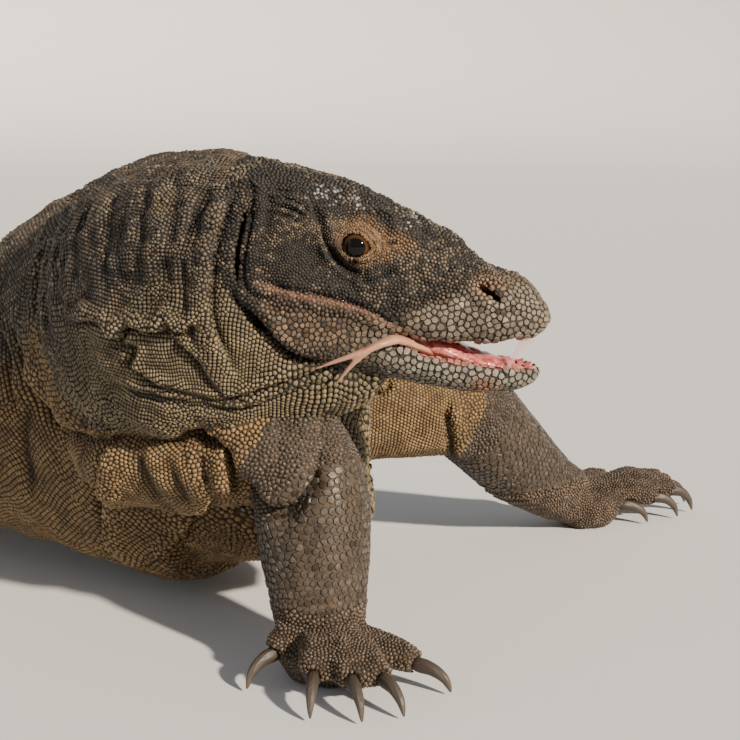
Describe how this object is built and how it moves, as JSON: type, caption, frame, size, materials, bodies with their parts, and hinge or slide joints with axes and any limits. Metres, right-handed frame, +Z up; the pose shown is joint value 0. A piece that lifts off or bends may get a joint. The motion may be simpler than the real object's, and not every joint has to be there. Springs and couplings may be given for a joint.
{
  "type": "komodo dragon",
  "caption": "Life-size still model of a Komodo dragon standing low on its feet, head turned, mouth ajar with a forked tongue out.",
  "frame": {"origin": "on the floor, under the middle of the whole animal's bounding box", "axes": "+X the way the trunk faces, +Y the animal's left, +Z up"},
  "size_m": [2.4152, 0.9224, 0.3948],
  "materials": {
    "hide": "dry scaly hide, blackish brown between beige-tan scale tops",
    "head_skin": "dry fine-scaled head skin, dark grey with pale flecks, pale tan polygonal scales along the lips",
    "claw_horn": "grey-brown horn, satin, darker to the root",
    "eye": "wet brown-orange iris round a black pupil",
    "tongue": "moist pinkish tan"
  },
  "bodies": {
    "root": {"belly": "hide", "chest": "hide", "claw_fore_left_1": "claw_horn", "claw_fore_left_2": "claw_horn", "claw_fore_left_3": "claw_horn", "claw_fore_left_4": "claw_horn", "claw_fore_left_5": "claw_horn", "claw_fore_right_1": "claw_horn", "claw_fore_right_2": "claw_horn", "claw_fore_right_3": "claw_horn", "claw_fore_right_4": "claw_horn", "claw_fore_right_5": "claw_horn", "claw_hind_left_1": "claw_horn", "claw_hind_left_2": "claw_horn", "claw_hind_left_3": "claw_horn", "claw_hind_left_4": "claw_horn", "claw_hind_left_5": "claw_horn", "claw_hind_right_1": "claw_horn", "claw_hind_right_2": "claw_horn", "claw_hind_right_3": "claw_horn", "claw_hind_right_4": "claw_horn", "claw_hind_right_5": "claw_horn", "eye_left": "eye", "eye_right": "eye", "forearm_left": "hide", "forearm_right": "hide", "forefoot_left": "hide", "forefoot_right": "hide", "head": "head_skin", "hindfoot_left": "hide", "hindfoot_right": "hide", "lower_jaw": "head_skin", "neck": "hide", "pelvis": "hide", "shin_left": "hide", "shin_right": "hide", "tail_1": "hide", "tail_2": "hide", "tail_3": "hide", "tail_4": "hide", "thigh_left": "hide", "thigh_right": "hide", "tongue": "tongue", "upper_arm_left": "hide", "upper_arm_right": "hide"}
  },
  "joints": []
}
